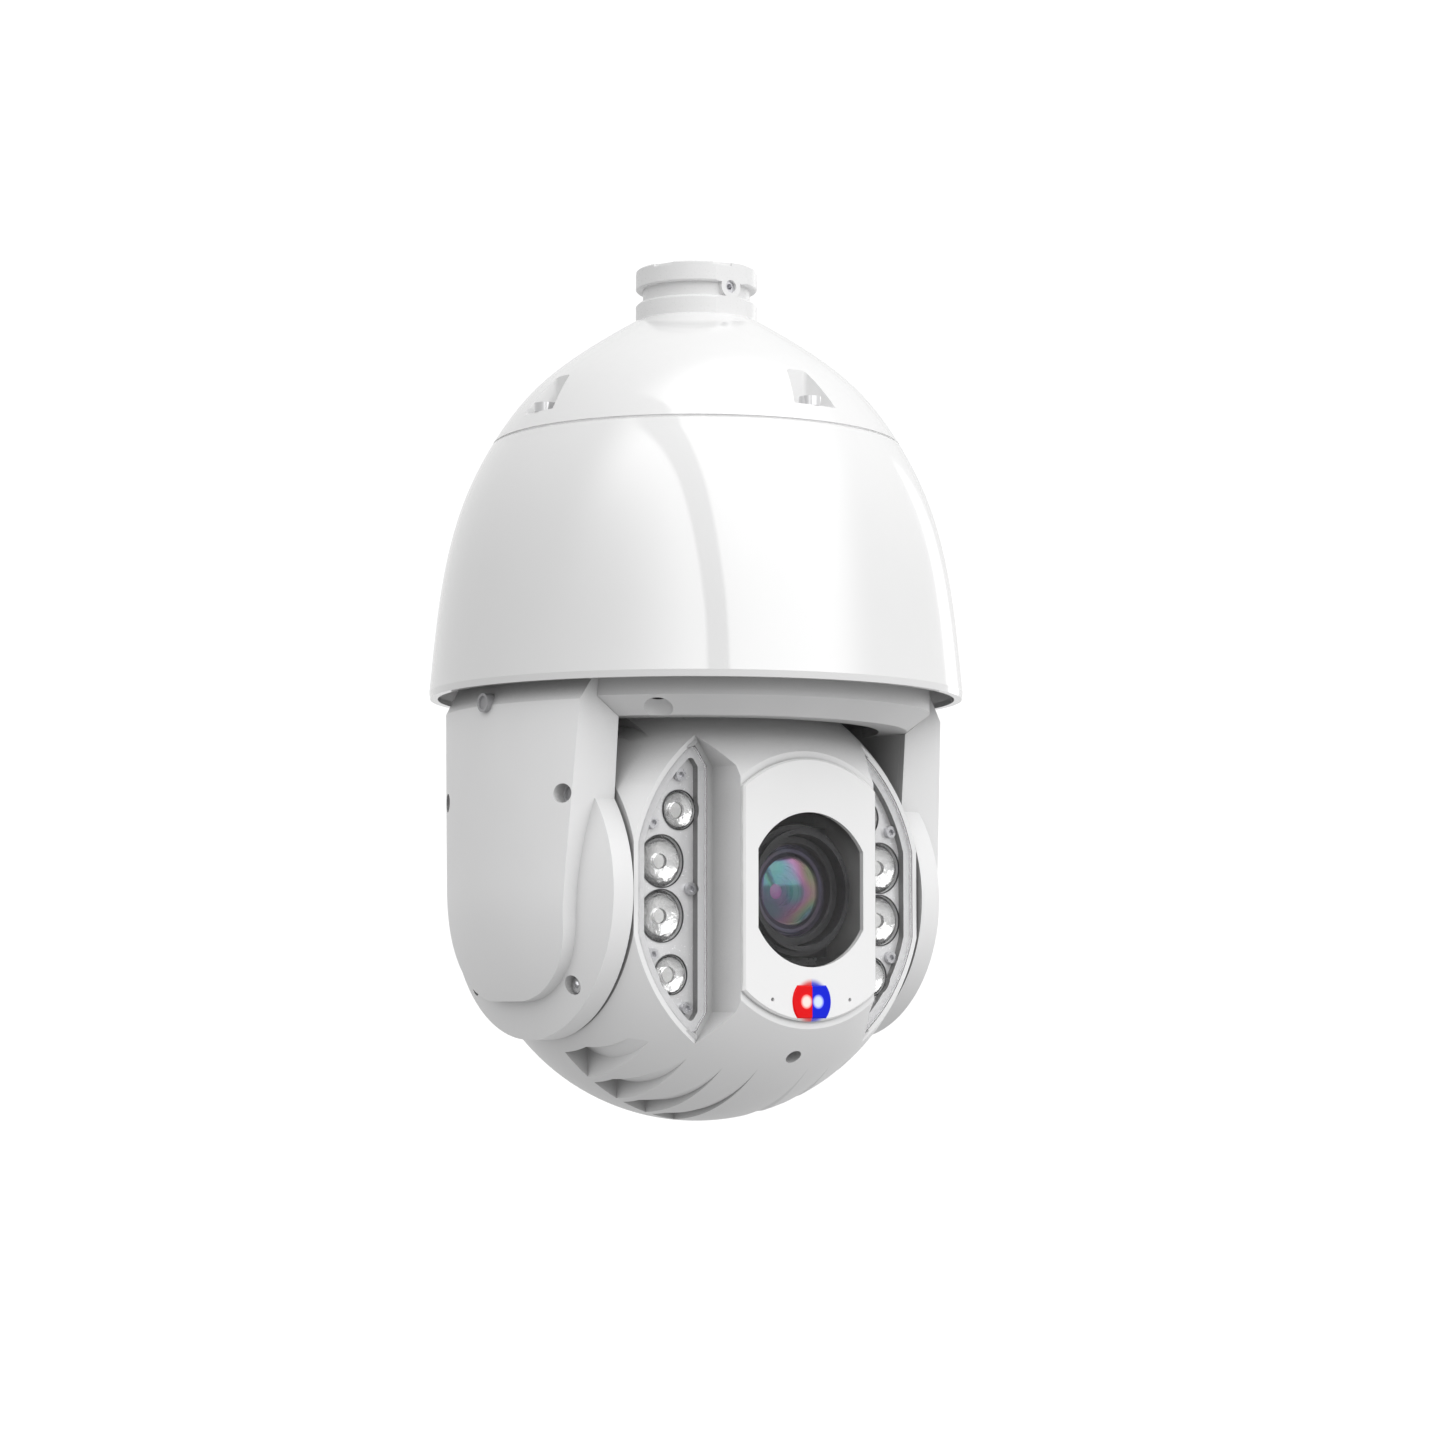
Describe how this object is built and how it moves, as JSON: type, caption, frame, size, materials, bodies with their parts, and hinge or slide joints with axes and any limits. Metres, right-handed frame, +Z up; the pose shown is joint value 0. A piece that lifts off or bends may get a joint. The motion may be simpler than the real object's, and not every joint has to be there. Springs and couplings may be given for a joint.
{
  "type": "ptz camera",
  "caption": "Dome camera hung by its neck: a yoke pans under a white skirt and carries a tilting ball head with a zoom lens, infrared lamps and a warning light.",
  "frame": {"origin": "centre of the neck's top face, on the pan axis", "axes": "+Z up along the pan axis, the camera looks along -Y at rest, the tilt axis is along X"},
  "size_m": [0.21, 0.21, 0.3361],
  "materials": {
    "barrel_black": "matt black",
    "bearing_steel": "ground and polished",
    "black_plastic": "moulded",
    "black_rubber": "moulded",
    "blue_lens": "blue translucent",
    "brass_gear": "machined",
    "cast_aluminium": "as cast",
    "circuit_board": "solder mask",
    "clear_glass": "clear, polished",
    "clear_lens": "clear moulded lens",
    "coated_glass": "coated lens glass",
    "gear_plastic": "moulded acetal",
    "grey_casting": "satin grey paint",
    "grey_rubber": "moulded",
    "grey_shell": "satin light grey paint",
    "motor_black": "black enamel",
    "red_lens": "red translucent",
    "reflector": "metallised moulding",
    "shaft_steel": "ground",
    "steel": "machined",
    "white_bezel": "gloss white moulding",
    "white_metal": "satin white paint",
    "white_shell": "gloss white paint",
    "zinc": "zinc plated"
  },
  "bodies": {
    "fixed_housing": {"neck_connector": "white_metal", "neck_set_screw": "steel", "neck_lock_nut": "zinc", "cable_gland": "black_rubber", "top_cap": "white_shell", "cap_gasket": "grey_rubber", "cap_screws": "steel", "sunshield_skirt": "white_shell", "base_plate": "cast_aluminium", "power_board": "circuit_board", "pan_ring_gear": "gear_plastic", "pan_bearing_inner": "bearing_steel", "spindle_nut": "zinc", "slip_ring_stator": "black_plastic"},
    "pan_yoke": {"slip_ring_rotor": "black_plastic", "pan_bearing_outer": "bearing_steel", "yoke_frame": "grey_casting", "pan_motor": "motor_black", "pan_motor_screws": "steel", "tilt_motor": "motor_black", "tilt_motor_bracket": "zinc", "tilt_motor_screws": "steel", "tilt_bearing_outer": "bearing_steel", "left_arm_cover": "grey_shell", "right_arm_cover": "grey_shell", "arm_cover_screws": "steel", "arm_screw_plugs": "grey_rubber", "arm_board": "circuit_board"},
    "pan_pinion": {"pan_pinion": "brass_gear"},
    "tilt_pinion": {"tilt_pinion": "brass_gear"},
    "tilt_head": {"ball_front_shell": "grey_shell", "ball_rear_shell": "grey_shell", "shell_screws": "steel", "drain_plug": "steel", "left_tilt_shaft": "shaft_steel", "right_tilt_shaft": "shaft_steel", "tilt_gear": "gear_plastic", "tilt_bearing_inner": "bearing_steel", "front_bezel": "white_bezel", "window_glass": "clear_glass", "strobe_lens_red": "red_lens", "strobe_lens_blue": "blue_lens", "strobe_board": "circuit_board", "microphones": "black_plastic", "left_ir_cover": "clear_glass", "right_ir_cover": "clear_glass", "ir_seals": "black_rubber", "ir_reflectors": "reflector", "ir_lenses": "clear_lens", "ir_boards": "circuit_board", "ir_screws": "steel", "camera_block": "black_plastic", "camera_cradle": "zinc", "lens_barrel": "barrel_black", "front_element": "coated_glass", "guide_rods": "shaft_steel", "sensor_board": "circuit_board", "main_board": "circuit_board"},
    "zoom_carriage": {"zoom_carriage": "barrel_black"},
    "focus_carriage": {"focus_carriage": "barrel_black"}
  },
  "joints": [
    {"name": "pan", "type": "hinge", "parent": "fixed_housing", "child": "pan_yoke", "pos_m": [0, 0, -0.248], "axis": [0, 0, 1], "continuous": true},
    {"name": "tilt", "type": "hinge", "parent": "pan_yoke", "child": "tilt_head", "pos_m": [0, 0, -0.248], "axis": [1, 0, 0], "range_deg": [-15, 90]},
    {"name": "pan_pinion_spin", "type": "hinge", "parent": "pan_yoke", "child": "pan_pinion", "pos_m": [0, 0.057, -0.093], "axis": [0, 0, 1], "continuous": true},
    {"name": "tilt_pinion_spin", "type": "hinge", "parent": "pan_yoke", "child": "tilt_pinion", "pos_m": [-0.08, 0, -0.2088], "axis": [1, 0, 0], "range_deg": [-405, 72]},
    {"name": "zoom", "type": "slide", "parent": "tilt_head", "child": "zoom_carriage", "axis": [0, 1, 0], "range_m": [0, 0.022]},
    {"name": "focus", "type": "slide", "parent": "tilt_head", "child": "focus_carriage", "axis": [0, 1, 0], "range_m": [0, 0.01]}
  ],
  "couplings": [
    {"joint": "pan_pinion_spin", "follows": "pan", "ratio": 5.3333},
    {"joint": "tilt_pinion_spin", "follows": "tilt", "ratio": -4.4444}
  ]
}
